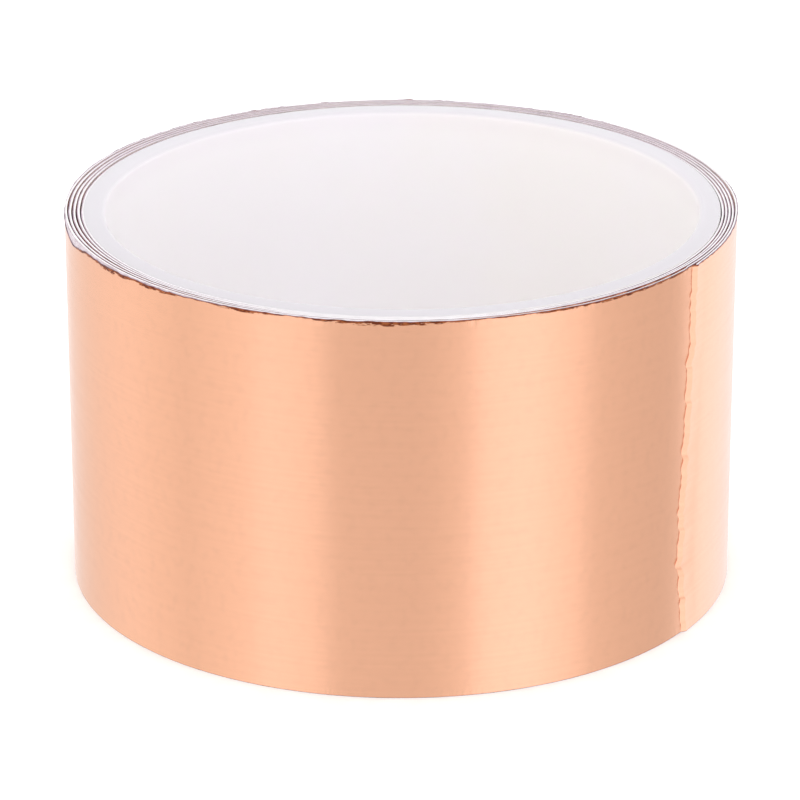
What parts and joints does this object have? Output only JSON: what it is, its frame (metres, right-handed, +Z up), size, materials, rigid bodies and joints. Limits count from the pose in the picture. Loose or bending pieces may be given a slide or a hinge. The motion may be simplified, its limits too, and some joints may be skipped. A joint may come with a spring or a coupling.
{
  "type": "copper foil tape roll",
  "caption": "Loosely wound roll of wide copper foil tape on a plastic core, with adhesive and release liner behind the foil and a free end that lifts off.",
  "frame": {"origin": "in the middle of the winding, in the plane of the lower end that it rests on; the bore's axis is 0.75 mm from it, at 70 degrees from +X towards -Y", "axes": "+Z up along the bore's axis; +X to the right as the free end faces front right, at 34 degrees from +X towards -Y; -Y is the front"},
  "size_m": [0.0864, 0.0863, 0.05],
  "materials": {
    "core_plastic": "milky moulded plastic, satin",
    "copper": "bright rolled copper foil, satin",
    "adhesive": "clear tacky acrylic film",
    "liner_paper": "smooth coated white paper",
    "starter_tape": "double-sided tissue tape"
  },
  "bodies": {
    "roll": {"core": "core_plastic", "starter_strip": "starter_tape", "copper_foil": "copper", "adhesive_coat": "adhesive", "release_liner": "liner_paper"},
    "end_link_1": {"end_foil_1": "copper", "end_adhesive_1": "adhesive", "end_liner_1": "liner_paper"},
    "end_link_2": {"end_foil_2": "copper", "end_adhesive_2": "adhesive", "end_liner_2": "liner_paper"},
    "end_link_3": {"end_foil_3": "copper", "end_adhesive_3": "adhesive", "end_liner_3": "liner_paper"},
    "end_link_4": {"end_foil_4": "copper", "end_adhesive_4": "adhesive", "end_liner_4": "liner_paper"},
    "end_link_5": {"end_foil_5": "copper", "end_adhesive_5": "adhesive", "end_liner_5": "liner_paper"},
    "end_link_6": {"end_foil_6": "copper", "end_adhesive_6": "adhesive"},
    "liner_flap": {"end_liner_6": "liner_paper"}
  },
  "joints": [
    {"name": "end_lift", "type": "hinge", "parent": "roll", "child": "end_link_1", "pos_m": [0.04072, 0.01465, 0.025], "axis": [0, 0, 1], "range_deg": [0, 50]},
    {"name": "end_bend_2", "type": "hinge", "parent": "end_link_1", "child": "end_link_2", "pos_m": [0.04254, 0.00811, 0.025], "axis": [0, 0, 1], "range_deg": [0, 12.5]},
    {"name": "end_bend_3", "type": "hinge", "parent": "end_link_2", "child": "end_link_3", "pos_m": [0.04331, 0.00136, 0.025], "axis": [0, 0, 1], "range_deg": [0, 12.5]},
    {"name": "end_bend_4", "type": "hinge", "parent": "end_link_3", "child": "end_link_4", "pos_m": [0.04302, -0.00543, 0.025], "axis": [0, 0, 1], "range_deg": [0, 12.5]},
    {"name": "end_bend_5", "type": "hinge", "parent": "end_link_4", "child": "end_link_5", "pos_m": [0.04166, -0.01209, 0.025], "axis": [0, 0, 1], "range_deg": [0, 12.5]},
    {"name": "end_bend_6", "type": "hinge", "parent": "end_link_5", "child": "end_link_6", "pos_m": [0.03928, -0.01845, 0.025], "axis": [0, 0, 1], "range_deg": [0, 12.5]},
    {"name": "liner_peel", "type": "hinge", "parent": "end_link_6", "child": "liner_flap", "pos_m": [0.03906, -0.01834, 0.025], "axis": [0, 0, 1], "range_deg": [-40, 0]}
  ],
  "couplings": [
    {"joint": "end_bend_2", "follows": "end_lift", "ratio": 0.25},
    {"joint": "end_bend_3", "follows": "end_lift", "ratio": 0.25},
    {"joint": "end_bend_4", "follows": "end_lift", "ratio": 0.25},
    {"joint": "end_bend_5", "follows": "end_lift", "ratio": 0.25},
    {"joint": "end_bend_6", "follows": "end_lift", "ratio": 0.25},
    {"joint": "liner_peel", "follows": "end_lift", "ratio": -0.8}
  ]
}
